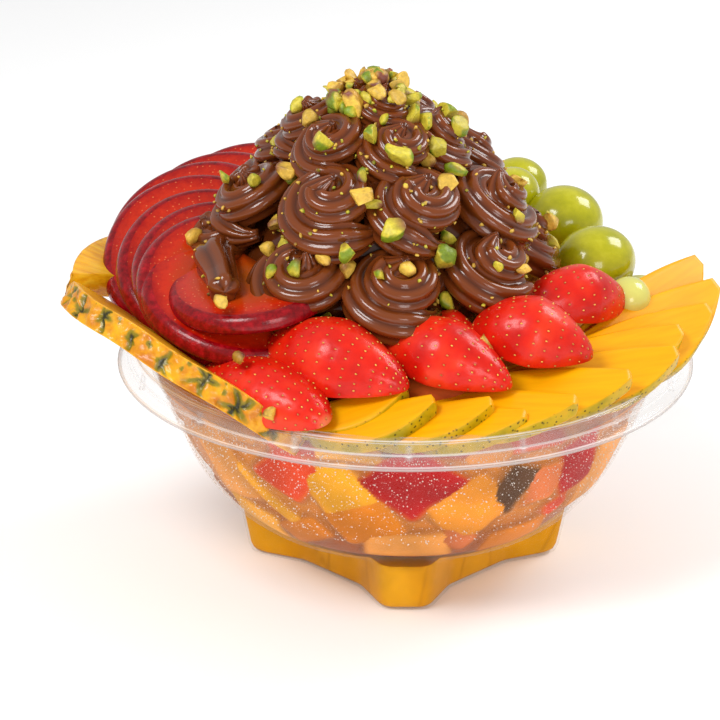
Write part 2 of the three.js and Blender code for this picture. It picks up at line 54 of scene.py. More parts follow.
BODY_TOP = 66
FOOT_REACH = 50.4
FOOT_END_HALF_WIDTH = 7.3
FOOT_NOTCH_REACH = 34.1
FOOT_NOTCH_HALF_WIDTH = 14.6
FOOT_DRAFT = math.tan(math.radians(11))
BODY_CURVE = [(36, 13.5), (42, 14.2), (47, 15.7), (51, 17.7), (54.5, 20), (58, 22.9), (61, 26.2),
              (65.5, 31.8), (70, 39.5), (76, 53), (81, BODY_TOP)]  # radius and height
SHEET = 1.0  # thickness of the clear sheet
GRIP = 0.15  # what fills the bowl reaches this far into the sheet
LAYER_TOP = 17  # top of the mango in the foot

PLUM_RADIUS = 32
PLUM_END_RADIUS = 27
PLUM_THICKNESS = 5.4
PLUM_OPEN = 104
PINEAPPLE_RADIUS = 53
PINEAPPLE_THICKNESS = 8
MANGO_THICKNESS = 5
MOUND_AXIS = np.array([-10.5, 0.0, 0.0])
MOUND = [(86, 52), (101, 57), (112, 54), (124, 46.5), (140, 34.5), (152, 21), (163, 3)]  # height, radius
CORE_DEPTH = 13  # the plain core lies this far inside the mound


# ---------------------------------------------------------------- geometry tools


def unit(v):
    v = np.asarray(v, float)
    return v / np.linalg.norm(v)


def polar(azimuth, radius, height):
    a = math.radians(azimuth)
    return np.array([radius * math.cos(a), radius * math.sin(a), height])


def direction(azimuth, elevation):
    e = math.radians(elevation)
    return polar(azimuth, math.cos(e), math.sin(e))


def axes_at(normal, heading):
    """Rows x, y, z of a frame whose z is the normal and whose x leans along the heading."""
    z = unit(normal)
    y = unit(np.cross(z, heading))
    return np.array([np.cross(y, z), y, z])


def smooth(edge0, edge1, x):
    t = np.clip((x - edge0) / (edge1 - edge0), 0, 1)
    return t * t * (3 - 2 * t)


def wobble(points, scale, seed):
    """Smooth noise between about -1 and 1 at each point, from a few crossed waves."""
    draw = np.random.default_rng(seed)
    total = np.zeros(len(points))
    for _ in range(5):
        wave = draw.normal(size=3) / scale
        total += np.sin(points @ wave * 2 + draw.uniform(0, TURN))
    return total / 3


def grid_faces(rows, cols, wrap=True):
    i = np.arange(rows - 1)[:, None]
    j = np.arange(cols if wrap else cols - 1)[None, :]
    k = (j + 1) % cols
    return np.stack([i * cols + j, i * cols + k, (i + 1) * cols + k, (i + 1) * cols + j], -1).reshape(-1, 4)


def icosphere(subdivisions):
    """Vertices and faces of a ball of radius 1."""
    ball = bmesh.new()
    bmesh.ops.create_icosphere(ball, subdivisions=subdivisions, radius=1)
    verts = np.array([v.co for v in ball.verts])
    faces = np.array([[v.index for v in f.verts] for f in ball.faces])
    ball.free()
    return verts, faces


class Shape:
    """Vertices in millimetres, faces, and values at the vertices, gathered into one mesh."""

    def __init__(self):
        self.verts, self.faces, self.values, self.count = [], [], {}, 0

    def add(self, verts, faces, **values):
        verts = np.asarray(verts, float).reshape(-1, 3)
        for part in faces:
            self.faces.extend((np.asarray(part) + self.count).tolist())
        for name, value in values.items():
            value = np.asarray(value, float)
            if not value.ndim or len(value) != len(verts):
                value = np.broadcast_to(value, (len(verts),) + value.shape)
            self.values.setdefault(name, []).append(value)
        self.verts.append(verts)
        self.count += len(verts)

    def add_rings(self, rings, **values):
        """A closed skin through an array of rings (rows, cols, 3), capped at both ends."""
        rows, cols = rings.shape[:2]
        last = (rows - 1) * cols
        caps = [[list(range(cols))[::-1]], [list(range(last, last + cols))]]
        self.add(rings, [grid_faces(rows, cols), *caps], **values)

    def points(self):
        return np.concatenate(self.verts)

    def tree(self):
        return BVHTree.FromPolygons(self.points().tolist(), self.faces)


def add_piece(name, shape, look, nodes=(), sheet=0.0):
    """Makes the mesh, dresses it, and lets it stand for its CAD nodes."""
    mesh = bpy.data.meshes.new(name)
    mesh.from_pydata((shape.points() * MM).tolist(), [], shape.faces)
    for key, parts in shape.values.items():
        data = np.concatenate(parts)
        if data.ndim == 1:
            mesh.attributes.new(key, "FLOAT", "POINT").data.foreach_set("value", data)
        else:
            mesh.attributes.new(key, "FLOAT_VECTOR", "POINT").data.foreach_set("vector", data.ravel())
    work = bmesh.new()
    work.from_mesh(mesh)
    bmesh.ops.recalc_face_normals(work, faces=work.faces)
    work.to_mesh(mesh)
    work.free()
    mesh.shade_smooth()
    mesh.materials.append(look)
    piece = bpy.data.objects.new(name, mesh)
    bpy.context.scene.collection.objects.link(piece)
    if sheet:
        wall = piece.modifiers.new("wall", "SOLIDIFY")
        wall.thickness = sheet * MM
        wall.offset = 0
    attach(piece, "root")
    if nodes:
        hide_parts(*nodes)
    return piece


# ---------------------------------------------------------------- material tools


def srgb(r, g, b):
    """Linear colour from 0-255 screen values."""
    c = np.array([r, g, b]) / 255
    return tuple(np.where(c <= 0.04045, c / 12.92, ((c + 0.055) / 1.055) ** 2.4).tolist()) + (1.0,)


def rgb(r, g, b):
    return np.array(srgb(r, g, b)[:3])


class Look:
    """A material on the Principled shader, whose texture nodes are added by short calls."""

    def __init__(self, name, **sockets):
        self.material = bpy.data.materials.new(name)
        self.material.use_nodes = True
        self.tree = self.material.node_tree
        self.shader = self.tree.nodes["Principled BSDF"]
        for key, value in sockets.items():
            self.shader.inputs[key.replace("_", " ")].default_value = value

    def node(self, kind, inputs, **settings):
        made = self.tree.nodes.new("ShaderNode" + kind)
        for key, value in settings.items():
            setattr(made, key, value)
        for key, value in inputs.items():
            if isinstance(value, bpy.types.NodeSocket):
                self.tree.links.new(value, made.inputs[key])
            else:
                made.inputs[key].default_value = value
        return made

    def place(self):
        return self.node("TexCoord", {}).outputs["Object"]

    def value(self, name):
        return self.node("Attribute", {}, attribute_name=name).outputs["Fac"]

    def vector(self, name):
        return self.node("Attribute", {}, attribute_name=name).outputs["Vector"]

    def stretch(self, vector, scale):
        return self.node("Mapping", {"Vector": vector, "Scale": scale}).outputs["Vector"]

    def noise(self, vector, scale, detail=3.0, rough=0.55):
        given = {"Vector": vector, "Scale": scale, "Detail": detail, "Roughness": rough}
        return self.node("TexNoise", given).outputs["Fac"]

    def cells(self, vector, scale, feature="F1", output="Distance"):
        return self.node("TexVoronoi", {"Vector": vector, "Scale": scale}, feature=feature).outputs[output]

    def ramp(self, factor, stops):
        made = self.node("ValToRGB", {"Fac": factor})
        band = made.color_ramp
        while len(band.elements) < len(stops):
            band.elements.new(0.5)
        for element, (at, colour) in zip(band.elements, stops):
            element.position = at
            element.color = colour if isinstance(colour, tuple) else (colour,) * 3 + (1.0,)
        return made.outputs["Color"]

    def mix(self, factor, a, b, blend="MIX"):
        made = self.node("MixRGB", {"Fac": factor, "Color1": a, "Color2": b}, blend_type=blend)
        return made.outputs["Color"]

    def math(self, operation, a, b=0.0):
        made = self.tree.nodes.new("ShaderNodeMath")
        made.operation = operation
        for index, value in enumerate((a, b)):
            if isinstance(value, bpy.types.NodeSocket):
                self.tree.links.new(value, made.inputs[index])
            else:
                made.inputs[index].default_value = value
        return made.outputs[0]

    def bump(self, height, strength, distance):
        given = {"Height": height, "Strength": strength, "Distance": distance * MM}
        self.tree.links.new(self.node("Bump", given).outputs["Normal"], self.shader.inputs["Normal"])

    def link(self, socket, output):
        self.tree.links.new(output, self.shader.inputs[socket])


# ---------------------------------------------------------------- materials


def plastic_look():
    look = Look("clear_plastic", Roughness=0.06, IOR=1.45, Specular_IOR_Level=0.3)
    facing = look.node("LayerWeight", {"Blend": 0.3}).outputs["Facing"]
    edge = look.math("MULTIPLY", look.math("POWER", facing, 3.0), 0.35)
    mist = look.math("MULTIPLY", look.noise(look.place(), 240, 4), look.value("mist"))
    alpha = look.math("ADD", look.math("ADD", edge, mist), look.value("veil"))
    look.link("Alpha", look.math("MINIMUM", alpha, 0.95))
    # Paleness whitens the rim's painted highlight lines and greys its painted dark outer edge.
    look.link("Base Color", look.mix(look.value("pale"), (0.5, 0.44, 0.42, 1), (1, 0.99, 0.98, 1)))
    return look.material


def cream_look():
    look = Look("chocolate_cream", Roughness=0.18, Specular_IOR_Level=0.28)
    look.shader.inputs["Coat Weight"].default_value = 0.3
    look.shader.inputs["Coat Roughness"].default_value = 0.1
    shade = look.noise(look.place(), 90, 3)
    body = look.mix(shade, srgb(116, 54, 18), srgb(98, 44, 14))
    # painted shade: the grooves between the flutes, where the ridge value is low, are painted dark brown
    crease_shade_browns = [(0.0, srgb(34, 11, 3)), (0.4, srgb(88, 38, 11)), (0.85, srgb(122, 59, 20))]
    crease_shade = look.ramp(look.value("ridge"), crease_shade_browns)
    look.link("Base Color", look.mix(0.6, body, crease_shade))
    look.bump(look.noise(look.place(), 260, 3), 0.1, 0.4)
    return look.material


def plum_look():
    look = Look("plum", Roughness=0.22, Specular_IOR_Level=0.25)
    look.shader.inputs["Coat Weight"].default_value = 0.15
    look.shader.inputs["Coat Roughness"].default_value = 0.12
    local = look.vector("local")
    grain = look.noise(local, 0.35, 4)
    uneven = look.math("MULTIPLY", look.math("SUBTRACT", grain, 0.5), 0.22)
    edge = look.math("ADD", look.value("edge"), uneven)
    reds = [(0.0, srgb(160, 78, 12)), (0.5, srgb(182, 62, 8)), (0.76, srgb(198, 40, 8)),
            (0.9, srgb(158, 10, 4))]
    flesh = look.ramp(edge, reds)
    specks = look.ramp(look.cells(local, 0.62), [(0.0, 1.0), (0.14, 0.55), (0.2, 0.0)])
    near = look.ramp(look.value("edge"), [(0.35, 0.0), (0.75, 0.6)])
    flesh = look.mix(look.math("MULTIPLY", specks, near), flesh, srgb(246, 150, 90))
    mottle = look.noise(look.place(), 420, 4, 0.7)
    skin = look.ramp(mottle, [(0.3, srgb(92, 0, 8)), (0.5, srgb(132, 2, 12)), (0.72, srgb(172, 16, 28))])
    look.link("Base Color", look.mix(look.value("skin"), flesh, skin))
    look.bump(look.noise(local, 1.3, 4), 0.22, 0.35)
    return look.material


def pineapple_look():
    look = Look("pineapple", Roughness=0.34, Specular_IOR_Level=0.3)
    look.shader.inputs["Coat Weight"].default_value = 0.25
    look.shader.inputs["Coat Roughness"].default_value = 0.15
    fibre = look.noise(look.stretch(look.vector("fibre"), (0.06, 0.9, 0.5)), 1.0, 4)
    flesh = look.ramp(fibre, [(0.3, srgb(216, 138, 6)), (0.5, srgb(240, 172, 14)), (0.7, srgb(248, 194, 44))])
    blotch = look.noise(look.place(), 170, 4)
    golds = [(0.35, srgb(196, 112, 2)), (0.5, srgb(218, 146, 4)), (0.65, srgb(232, 172, 14))]
    rind = look.ramp(blotch, golds)
    rough = look.math("SUBTRACT", look.noise(look.place(), 330, 4), 0.5)
    dark = look.math("ADD", look.value("eye"), look.math("MULTIPLY", rough, 0.8))
    rind = look.mix(look.ramp(dark, [(0.14, 0.0), (0.46, 0.85)]), rind, srgb(112, 112, 14))
    rind = look.mix(look.ramp(dark, [(0.62, 0.0), (0.95, 1.0)]), rind, srgb(44, 42, 12))
    look.link("Base Color", look.mix(look.value("skin"), flesh, rind))
    look.bump(look.mix(look.value("skin"), fibre, look.noise(look.place(), 480, 4)), 0.5, 0.9)
    return look.material


def strawberry_look():
    look = Look("strawberry", Roughness=0.32, Specular_IOR_Level=0.25)
    look.shader.inputs["Coat Weight"].default_value = 0.15
    look.shader.inputs["Coat Roughness"].default_value = 0.15
    tone = look.noise(look.place(), 70, 3)
    red = look.ramp(tone, [(0.3, srgb(186, 14, 5)), (0.5, srgb(214, 28, 8)), (0.72, srgb(230, 58, 22))])
    # painted shade: the dimples round the seeds are painted a darker red
    red = look.mix(look.value("pit"), red, srgb(150, 10, 10))
    look.link("Base Color", look.mix(look.value("pale"), red, srgb(238, 150, 100)))
    look.bump(look.noise(look.place(), 700, 3), 0.2, 0.3)
    return look.material


def seed_look():
    look = Look("strawberry_seed", Roughness=0.35)
    tone = look.noise(look.place(), 500, 2)
    look.link("Base Color", look.ramp(tone, [(0.35, srgb(168, 96, 20)), (0.65, srgb(236, 186, 76))]))
    return look.material


def mango_look():
    look = Look("mango", Roughness=0.4, Specular_IOR_Level=0.2)
    look.shader.inputs["Coat Weight"].default_value = 0.06
    look.shader.inputs["Coat Roughness"].default_value = 0.2
    fibre = look.noise(look.stretch(look.vector("local"), (0.05, 0.45, 0.45)), 1.0, 3)
    flesh = look.ramp(fibre, [(0.25, srgb(230, 154, 0)), (0.5, srgb(236, 164, 0)), (0.78, srgb(240, 172, 0))])
    greens = [(0.35, srgb(166, 142, 4)), (0.55, srgb(200, 162, 6)), (0.75, srgb(222, 162, 8))]
    skin = look.ramp(look.noise(look.place(), 130, 3), greens)
    specks = look.ramp(look.cells(look.place(), 640), [(0.16, 1.0), (0.3, 0.0)])
    skin = look.mix(look.math("MULTIPLY", specks, 0.85), skin, srgb(52, 44, 8))
    look.link("Base Color", look.mix(look.value("skin"), flesh, skin))
    look.bump(fibre, 0.08, 0.3)
    return look.material


def grape_look():
    look = Look("grape", Roughness=0.2, Specular_IOR_Level=0.3)
    look.shader.inputs["Coat Weight"].default_value = 0.4
    look.shader.inputs["Coat Roughness"].default_value = 0.06
    vein = look.noise(look.place(), 75, 5, 0.65)
    greens = [(0.32, srgb(152, 152, 4)), (0.52, srgb(176, 172, 12)), (0.72, srgb(198, 192, 44))]
    body = look.ramp(vein, greens)
    look.link("Base Color", look.mix(look.value("pale"), body, srgb(216, 212, 116)))
    return look.material


def filling_look():
    look = Look("cut_fruit", Roughness=0.5, Specular_IOR_Level=0.1)
    shade = look.ramp(look.noise(look.place(), 130, 4), [(0.3, 0.88), (0.7, 1.06)])
    look.link("Base Color", look.mix(1.0, look.vector("tint"), shade, "MULTIPLY"))
    look.bump(look.noise(look.place(), 260, 3), 0.25, 0.5)
    return look.material


def nut_look():
    look = Look("pistachio", Roughness=0.45)
    shade = look.ramp(look.noise(look.place(), 700, 4), [(0.3, 0.68), (0.7, 1.1)])
    look.link("Base Color", look.mix(1.0, look.vector("tint"), shade, "MULTIPLY"))
    look.bump(look.noise(look.place(), 900, 4), 0.5, 0.5)
    return look.material


def drop_look():
    look = Look("water_drop", Base_Color=(1, 0.93, 0.84, 1), Roughness=0.05, IOR=1.33)
    look.shader.inputs["Alpha"].default_value = 0.6
    return look.material


PLASTIC = plastic_look()
CREAM = cream_look()
PLUM = plum_look()
PINEAPPLE = pineapple_look()
STRAWBERRY = strawberry_look()
SEED = seed_look()
MANGO = mango_look()
GRAPE = grape_look()
FILLING = filling_look()
NUT = nut_look()
DROP = drop_look()

# ---------------------------------------------------------------- bowl

BOWL_SIDES = 384
BASE_ROWS = (0.02, 0.3, 0.6, 0.8, 0.92, 0.975)  # shares of the foot's radius
FOOT_ROWS = (0.12, 0.3, 0.5, 0.7, 0.85, 0.94)  # shares of the foot's height
BODY_ROWS = 44
BASE_ROUNDING = 0.5
CORNER_STEPS = 7  # the foot's corners are averaged over this many sides
FOOT_FLARE = 1.065  # the foot is about this much wider where it meets the body
RIM_PROFILE = [(81, 66), (81.6, 68), (82.1, 70.5), (82.6, 72.6), (83.6, 73.8), (85.2, 74.1), (87, 74.1),
               (88.3, 73.4), (88.7, 71.5), (88.9, 69.6), (89.6, 68.6), (91, 67.7), (92.4, 67.1)]
RIM_STEP = 0.3
# painted highlight lines: white, more opaque lines along the rim's profile
RIM_HIGHLIGHTS = [(8.0, 0.8), (12.0, 0.9), (16.2, 0.75), (20.6, 0.9)]  # place along the rim's profile, brightness
HIGHLIGHT_WIDTH = 0.28
# width of the painted shade along the flange's outer edge
DARK_EDGE_WIDTH = 0.7
RIB_ANGLE = 22.5
RIB_WIDTH = 0.5  # degrees
RIB_HEIGHT = 0.5
BODY_VEIL, BODY_PALE, MIST = 0.008, 0.3, 0.03
DROPS = 9000
DROP_TOP, DROP_FALL = 65, 36  # they thin out over this height, from the top down
theta = np.linspace(0, TURN, BOWL_SIDES, endpoint=False)


def foot_radius(angle, shrink):
    """Radius of the four-lobed foot at its base in each direction: the nearest of its straight sides."""
    a = (angle + TURN / 8) % (TURN / 4) - TURN / 8
    end = FOOT_REACH - shrink
    half = FOOT_END_HALF_WIDTH - 0.4 * shrink
    notch = np.array([FOOT_NOTCH_REACH - 0.8 * shrink, FOOT_NOTCH_HALF_WIDTH - 0.6 * shrink])
    corner = np.array([end, half])
    side = np.abs(a)
    x, y = np.cos(side), np.sin(side)
    flank_dir = notch - corner
    offset = corner[0] * flank_dir[1] - corner[1] * flank_dir[0]
    flank = offset / (x * flank_dir[1] - y * flank_dir[0] + 1e-9)
    wall = notch.sum() / (x + y)
    tip = end / x
    beyond_notch = side > math.atan2(notch[1], notch[0])
    return np.where(beyond_notch, wall, np.minimum(tip, np.where(flank > 0, flank, 1e9)))


def soften(values, width):
    """Running average round the full turn, which rounds the corners."""
    kernel = np.ones(width) / width
    padded = np.concatenate([values[-width:], values, values[:width]])
    return np.convolve(padded, kernel, "same")[width:-width]


def run_length(points):
    """Distance along a polyline at each of its points."""
    return np.concatenate([[0], np.cumsum(np.linalg.norm(np.diff(points, axis=0), axis=1))])


def body_point(shrink):
    """The body's curve as a dense rounded polyline, moved inwards by shrink."""
    points = np.array(BODY_CURVE, float)
    run = run_length(points)
    steps = np.linspace(0, run[-1], 90)
    curve = np.stack([np.interp(steps, run, points[:, k]) for k in (0, 1)], 1)
    reach = 4
    kernel = np.ones(2 * reach + 1) / (2 * reach + 1)
    for k in (0, 1):
        line = curve[:, k]
        before = line[0] + np.arange(-reach, 0) * (line[1] - line[0])
        after = line[-1] + np.arange(1, reach + 1) * (line[-1] - line[-2])
        curve[:, k] = np.convolve(np.concatenate([before, line, after]), kernel, "valid")
    tangent = np.gradient(curve, axis=0)
    tangent /= np.linalg.norm(tangent, axis=1, keepdims=True)
    return curve + shrink * np.stack([-tangent[:, 1], tangent[:, 0]], 1)


def vessel_rows(shrink, top_rows=()):
    """Rings of the bowl from the middle of its base to the brim, moved inwards by shrink."""
    body = body_point(shrink)
    foot_low = soften(foot_radius(theta, shrink), CORNER_STEPS)
    rows = [(foot_low * t, np.full(BOWL_SIDES, shrink)) for t in BASE_ROWS]
    rows.append((foot_low * 0.995, np.full(BOWL_SIDES, shrink + BASE_ROUNDING)))
    meet = np.interp(foot_low * FOOT_FLARE, body[:, 0], body[:, 1])
    for t in FOOT_ROWS:
        height = shrink + (meet - shrink) * t
        rows.append((foot_low * (1 + height * FOOT_DRAFT / FOOT_REACH), height))
    joint = foot_low * (1 + meet * FOOT_DRAFT / FOOT_REACH)
    brim_radius = body[-1, 0]
    for t in np.linspace(0.02, 1, BODY_ROWS):
        radius = joint + (brim_radius - joint) * t
        rows.append((radius, np.interp(radius, body[:, 0], body[:, 1])))
    for radius, height in top_rows:
        rows.append((np.full(BOWL_SIDES, float(radius)), np.full(BOWL_SIDES, float(height))))
    return rows


def rings_from(rows):
    return np.stack([np.stack([r * np.cos(theta), r * np.sin(theta), z], 1) for r, z in rows])


def rim_rows():
    """The rim's profile in fine steps, with the opacity and paleness of its painted highlight lines and of its
    painted dark outer edge.
    """
    points = np.array(RIM_PROFILE, float)
    run = run_length(points)
    s = np.arange(RIM_STEP, run[-1], RIM_STEP)
    # painted highlights: white, more opaque lines along the profile
    line = sum(power * np.exp(-(((s - at) / HIGHLIGHT_WIDTH) ** 2)) for at, power in RIM_HIGHLIGHTS)
    # painted shade: the flange's outer edge is made greyer and more opaque
    edge = np.exp(-(((s - run[-1]) / DARK_EDGE_WIDTH) ** 2))
    veil = 0.1 + 0.45 * line + 0.4 * edge
    pale = np.clip(0.15 + line - 0.3 * edge, 0, 1)
    return np.stack([np.interp(s, run, points[:, 0]), np.interp(s, run, points[:, 1]), veil, pale], 1)


def make_bowl():
    shape = Shape()
    rim = rim_rows()
    rings = rings_from(vessel_rows(SHEET / 2, rim[:, :2]))
    turn = (np.degrees(theta) + RIB_ANGLE / 2) % RIB_ANGLE - RIB_ANGLE / 2
    rib = np.exp(-((turn / RIB_WIDTH) ** 2))
    rows, cols = rings.shape[:2]
    body_rows = rows - len(rim)
    veil = np.full((rows, cols), BODY_VEIL)
    pale = np.full((rows, cols), BODY_PALE)
    # the rim rows carry the painted highlight lines and the painted dark outer edge
    veil[body_rows:] = rim[:, 2:3]
    pale[body_rows:] = rim[:, 3:4]
    banded = (rim[:, 0] > 88.2) & (rim[:, 1] > 69)
    for k in np.flatnonzero(banded) + body_rows:
        radius = np.hypot(rings[k, :, 0], rings[k, :, 1])
        rings[k, :, :2] *= ((radius + RIB_HEIGHT * rib) / radius)[:, None]
        veil[k] += 0.25 * rib
    mist = smooth(24, 46, rings[..., 2]) * smooth(67, 62, rings[..., 2]) * MIST
    shape.add(rings, [grid_faces(rows, cols), [list(range(cols))[::-1]]],
              veil=veil.ravel(), pale=pale.ravel(), mist=mist.ravel())
    add_piece("clear_bowl", shape, PLASTIC, ["bowl"], sheet=SHEET)


# ---------------------------------------------------------------- fruit in the bowl

JUICE = rgb(212, 128, 36)
JUICE_DEEP = rgb(156, 76, 4)
FRUIT_TINTS = {
    "melon": rgb(226, 140, 34), "pale": rgb(224, 148, 66), "mango": rgb(232, 160, 24),
    "red": rgb(176, 14, 14), "orange": rgb(208, 118, 6), "coral": rgb(216, 66, 24),
    "pink": rgb(206, 110, 58), "grape": rgb(92, 58, 30), "dark": rgb(80, 34, 16),
}
FILLING_ROWS, FILLING_SIDES = 100, 640
CHUNK_SWELL = 1.12  # the listed widths and heights grow by this much
CHUNK_ROUNDING = 2.5
CHUNK_RAGGED = 0.7
CHUNK_GAP_DEPTH = 1.6
WALL_SLOPE = 1.12  # a step along the leaning wall over its step in height
HEAP = [(77, 67), (72, 67), (62, 69), (50, 73), (42, 80), (34, 84.5), (18, 85), (1, 85)]  # radius, height
HEAP_ROUGHNESS = 1.4
FOOT_PIECES = 15
# kind, azimuth, height, width, tallness and tilt of each piece pressed against the front wall
FRONT_CHUNKS = [
    ("pale", -141, 50, 18, 26, 15), ("mango", -128.5, 43, 25, 6, -48), ("coral", -119, 55, 17, 20, -35),
    ("mango", -107, 52, 18, 19, 25), ("orange", -101, 38, 20, 16, 25), ("red", -88.8, 56, 24, 24, 45),
    ("melon", -73.5, 44.5, 21, 21, 42), ("grape", -64.5, 50, 13, 20, -25), ("pink", -55, 49, 12, 16, 0),
    ("red", -45, 53, 15, 24, 20), ("coral", -46.5, 37.5, 9, 8, 30), ("pale", -89.6, 28, 25, 13, 0),
    ("pink", -76, 30, 12, 9, -30), ("coral", -116, 66, 16, 7, 0), ("mango", -104, 67, 20, 8, 0),
    ("dark", -92.6, 68, 9, 5, 0), ("red", -83, 68, 17, 7, 0), ("pale", -31, 45, 18, 26, 0),
    ("orange", -120, 30, 18, 10, 30), ("orange", -56, 27, 20, 11, 10), ("coral", -60, 67, 18, 7, 0),
    ("pale", -134, 66, 22, 8, 0), ("melon", -72, 66, 14, 8, 0), ("mango", -138, 30, 18, 12, -20),
]


def chunk_list():
    """The pieces seen in the photo, and others like them round the sides and the back."""
    chunks = list(FRONT_CHUNKS)
    kinds = ["melon", "mango", "orange", "red", "pale", "mango", "grape", "melon"]
    for row_height, step in ((22, 17), (41, 19), (59, 18)):
        for azimuth in np.arange(2 + row_height % 7, 196, step):
            kind = kinds[rng.integers(len(kinds))]
            height = row_height + rng.uniform(-3, 3)
            width, tall = rng.uniform(14, 22), rng.uniform(13, 20)
            chunks.append((kind, azimuth, height, width, tall, rng.uniform(-45, 45)))
    return chunks


def make_filling():
    """One skin just inside the sheet: flat where fruit presses on the wall, sunk between."""
    body = body_point(SHEET - GRIP)
    heights = np.concatenate([np.linspace(LAYER_TOP + 0.3, BODY_TOP, FILLING_ROWS), [69, 71]])
    angle = np.linspace(0, TURN, FILLING_SIDES, endpoint=False)
    H, A = np.meshgrid(heights, angle, indexing="ij")
    wall = np.interp(H, body[:, 1], body[:, 0])
    wall = np.where(H > BODY_TOP, body[-1, 0] - (H - BODY_TOP) * 1.5, wall)
    nearest = np.full(H.shape, 9.0)
    deep = smooth(44, 24, H)[..., None]
    juice = JUICE * (1 - deep) + JUICE_DEEP * deep
    tint = juice.copy()
    flat = np.stack([wall * A, H, 0 * H], -1).reshape(-1, 3)
    ragged = CHUNK_RAGGED * wobble(flat, 7, 11).reshape(H.shape)
    for kind, azimuth, height, width, tall, tilt in chunk_list():
        across = (A - math.radians(azimuth) + math.pi) % TURN - math.pi
        s = across * wall
        t = (H - height) * WALL_SLOPE
        c, n = math.cos(math.radians(tilt)), math.sin(math.radians(tilt))
        x, y = s * c + t * n, -s * n + t * c
        dx = np.abs(x) - width * CHUNK_SWELL / 2 + CHUNK_ROUNDING
        dy = np.abs(y) - tall * CHUNK_SWELL / 2 + CHUNK_ROUNDING
        outside = np.hypot(np.maximum(dx, 0), np.maximum(dy, 0)) + np.minimum(np.maximum(dx, dy), 0)
        outside += ragged - CHUNK_ROUNDING
        own = outside < nearest
        nearest = np.where(own, outside, nearest)
        inside = smooth(1.6, -2.6, outside)[..., None]
        grade = 1 + 0.16 * np.sin(x * 0.22 + y * 0.12 + azimuth)[..., None]
        colour = FRUIT_TINTS[kind] * grade
        tint = np.where(own[..., None], juice * (1 - inside) + colour * inside, tint)
    depth = CHUNK_GAP_DEPTH * smooth(-1.0, 2.2, nearest)
    # painted shade: each piece's tint is darkened in a band along its border
    tint = tint * (1 - 0.2 * smooth(-1.0, 0.4, nearest) * smooth(3, 0.6, nearest))[..., None]
    radius = wall - np.where(H > 64, 0, depth)
    rings = np.stack([radius * np.cos(A), radius * np.sin(A), H], -1)
    shape = Shape()
    rows, cols = H.shape
    shape.add(rings, [grid_faces(rows, cols), [list(range(cols))[::-1]]], tint=tint.reshape(-1, 3))
    add_heap(shape, angle)
    add_piece("cut_fruit", shape, FILLING, ["fruit_chunks"])


def add_heap(shape, angle):
    """The top of the filling, which carries the toppings."""
    level = np.ones(len(angle))
    flat = np.concatenate([np.stack([r * np.cos(angle), r * np.sin(angle), z * level], 1) for r, z in HEAP])
    bump = HEAP_ROUGHNESS * wobble(flat, 14, 3)
    flat[:, 2] += np.where(np.hypot(flat[:, 0], flat[:, 1]) > 70, 0, bump)
    patch = wobble(flat, 16, 8)[:, None]
    tint = np.where(patch > 0.5, FRUIT_TINTS["mango"], FRUIT_TINTS["melon"])
    last = list(range(len(flat) - len(angle), len(flat)))
    shape.add(flat, [grid_faces(len(HEAP), len(angle)), [last]], tint=tint)


def make_foot_fill():
    """Mango pressed into the foot, with painted shade in the creases between its pieces."""
    rings = rings_from(vessel_rows(SHEET - GRIP))
    top = np.empty((BOWL_SIDES, 3))
    for j in range(BOWL_SIDES):
        top[j] = [np.interp(LAYER_TOP, rings[:, j, 2], rings[:, j, k]) for k in range(3)]
    above = rings[..., 2] > LAYER_TOP
    rings = np.where(above[..., None], top[None], rings)
    rings = rings[: int(np.argmax(above.all(axis=1))) + 1]
    flat = rings.reshape(-1, 3)
    azimuths = np.arange(0, 360, 360 / FOOT_PIECES) + rng.uniform(-6, 6, FOOT_PIECES)
    reaches = rng.uniform(34, 50, FOOT_PIECES)
    heights = rng.uniform(0, LAYER_TOP, FOOT_PIECES)
    seeds = np.stack([polar(*spot) for spot in zip(azimuths, reaches, heights)])
    gaps = np.sort(np.linalg.norm(flat[:, None] - seeds[None], axis=2), axis=1)
    # painted shade: the borders between the pieces blend towards a deeper, darker yellow
    crease_shade = smooth(1.3, 0.1, gaps[:, 1] - gaps[:, 0])[:, None] * 0.4
    yellow, deep, pale = rgb(216, 146, 0), rgb(170, 98, 0), rgb(228, 166, 28)
    light = (0.5 + 0.9 * wobble(flat, 12, 4)).clip(0, 1)[:, None] * 0.5
    tint = (yellow * (1 - light) + pale * light) * (1 - crease_shade) + deep * crease_shade
    shape = Shape()
    shape.add_rings(rings, tint=tint)
    add_piece("foot_mango", shape, FILLING, ["mango_layer"])


def make_drops():
    """Drops of water on the sheet."""
    shape = Shape()
    verts, faces = icosphere(1)
    body = body_point(SHEET * 0.55)
    for _ in range(DROPS):
        azimuth = rng.uniform(0, 360)
        height = DROP_TOP - DROP_FALL * rng.uniform(0, 1) ** 1.5
        radius = np.interp(height, body[:, 1], body[:, 0])
        size = 0.09 + 0.2 * rng.uniform(0, 1) ** 3
        shape.add(verts * size + polar(azimuth, radius, height), [faces])
    add_piece("drops", shape, DROP)


# ---------------------------------------------------------------- slices


# each row of a rim: how far inside the arc, its height over half the thickness, share of skin
PLUM_RIM = [(3.6, 1.0, 0), (3.2, 1.0, 1), (2.4, 0.92, 1), (1.6, 0.74, 1), (0.9, 0.45, 1), (0.4, 0.1, 1),
            (0.1, -0.35, 1), (0.0, -0.65, 1), (0.3, -0.95, 1), (0.9, -1.0, 0)]
PINEAPPLE_RIM = [(0.9, 1.0, 0), (0.5, 0.97, 0.4), *((0.0, z, 1) for z in np.linspace(0.88, -0.88, 13)),
                 (0.5, -0.97, 0.4), (0.9, -1.0, 0)]
SLICE_ROWS = (0.0, 0.12, 0.25, 0.4, 0.55, 0.7, 0.82, 0.92)  # from the straight side to the arc


